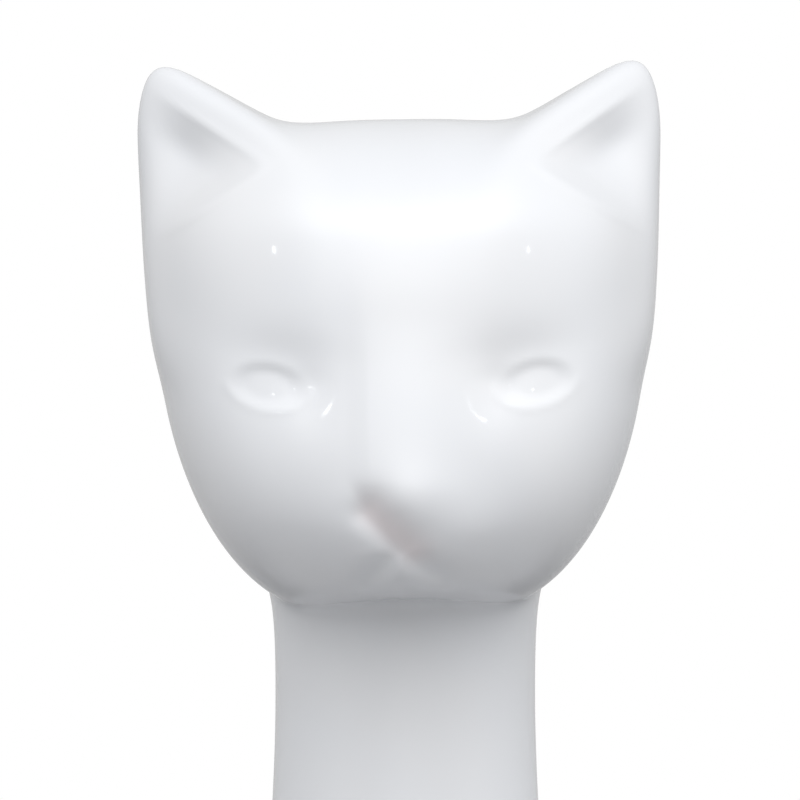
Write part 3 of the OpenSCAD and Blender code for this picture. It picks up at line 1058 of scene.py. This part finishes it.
# %% Surround
LOBES = [
    # azimuth from the front towards +X, height, tightness, strength
    (0, 55, 8, 1.44),
    (0, 25, 8, 1.34),
    (30, 55, 32, 1.09),
    (60, 25, 8, 0.93),
    (90, 25, 8, 0.84),
    (0, 55, 32, 0.83),
    (-30, 55, 32, 0.76),
    (50, 55, 8, 0.73),
    (-60, 25, 8, 0.68),
    (-120, 10, 4, 0.64),
    (120, 10, 4, 0.53),
    (-90, 25, 8, 0.47),
    (-50, 55, 8, 0.33),
    (0, 35, 32, 0.27),
    (180, 10, 4, 0.58),
    (-60, 5, 8, 0.38),
    (60, 5, 8, 0.20),
]
world = bpy.data.worlds.new("surround")
bpy.context.scene.world = world
world.use_nodes = True
sky = world.node_tree.nodes
way = add_node(sky, "ShaderNodeTexCoord", output="Generated")
seen = add_node(sky, "ShaderNodeLightPath", output="Is Camera Ray")


def lobe(azimuth, height, tight, strength):
    """Light from around one direction: strength times the cosine of the angle to it, to the power tight."""
    a, h = math.radians(azimuth), math.radians(height)
    middle = (math.sin(a) * math.cos(h), -math.cos(a) * math.cos(h), math.sin(h))
    near = add_node(sky, "ShaderNodeVectorMath", {"operation": "DOT_PRODUCT"}, {0: way, 1: middle}, "Value")
    return near.math("MAXIMUM", 0.0).math("POWER", tight) * strength


light = sum((lobe(*row) for row in LOBES), 0.0)
put(sky["Background"].inputs["Color"], (1, 1, 1, 1))
put(sky["Background"].inputs["Strength"], seen + (1.0 - seen) * light)
print(len(LOBES), "lobes of light")

# %% [markdown]
# ## The ticks of light
#
# Small lamps show in the glaze as bright ticks wherever the clay turns sharply, as it does at
# the corners of the eyes and on the rims of the ears. They are so small that they hardly
# change the shading.

# %% Lamps
HEAD_AT = (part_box("head_casting")[0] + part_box("head_casting")[1]) / 2


def lamp(name, azimuth, height, away, size, radiance):
    """A small rectangular light that faces the head; power is radiance times pi times area."""
    a, h = math.radians(azimuth), math.radians(height)
    where = Vector((math.sin(a) * math.cos(h), -math.cos(a) * math.cos(h), math.sin(h)))
    data = bpy.data.lights.new(name, "AREA")
    data.shape, data.size, data.size_y = "RECTANGLE", *size
    data.energy = radiance * math.pi * size[0] * size[1]
    thing = bpy.data.objects.new(name, data)
    thing.location = HEAD_AT + where * away
    thing.rotation_mode = "QUATERNION"
    thing.rotation_quaternion = where.to_track_quat("Z", "Y")
    bpy.context.scene.collection.objects.link(thing)
    thing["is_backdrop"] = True


lamp("left_lamp", -46, 30, 0.9, (0.018, 0.030), 18.0)
lamp("right_lamp", 46, 30, 0.9, (0.014, 0.022), 18.0)
lamp("top_lamp", 5, 62, 0.9, (0.10, 0.02), 25.0)
print(len(bpy.data.lights), "lamps round", [round(c, 3) for c in HEAD_AT])

# %% [markdown]
# ## The camera
#
# A long lens a little above the head and straight in front of it, close enough for the head
# to fill most of the frame. The neck runs out at the bottom.

# %% Camera
ELEVATION, AWAY, FRAME_WIDE = math.radians(4.0), 1.2, 0.120
camera_data = bpy.data.cameras.new("camera")
camera = bpy.data.objects.new("camera", camera_data)
bpy.context.scene.collection.objects.link(camera)
bpy.context.scene.camera = camera
camera_data.sensor_width = 36.0
camera_data.lens = 36.0 * AWAY / FRAME_WIDE
look_at = Vector((NECK_AT[0] / 1000 - 0.0008, NECK_AT[1] / 1000, 0.3503))
back = Vector((0, -math.cos(ELEVATION), math.sin(ELEVATION)))
camera.location = look_at + back * AWAY
camera.rotation_mode = "QUATERNION"
camera.rotation_quaternion = (-back).to_track_quat("-Z", "Y")
camera_data.clip_start, camera_data.clip_end = 0.05, 50.0
scene = bpy.context.scene
scene.view_settings.view_transform = "Standard"
print("camera at", [round(c, 3) for c in camera.location])

# %% [markdown]
# ## Measure
#
# The box of everything shown is printed in millimetres.

# %% Finish
low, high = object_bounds()
print("shown box, mm:", [round(v * 1000, 1) for v in (*low, *high)])
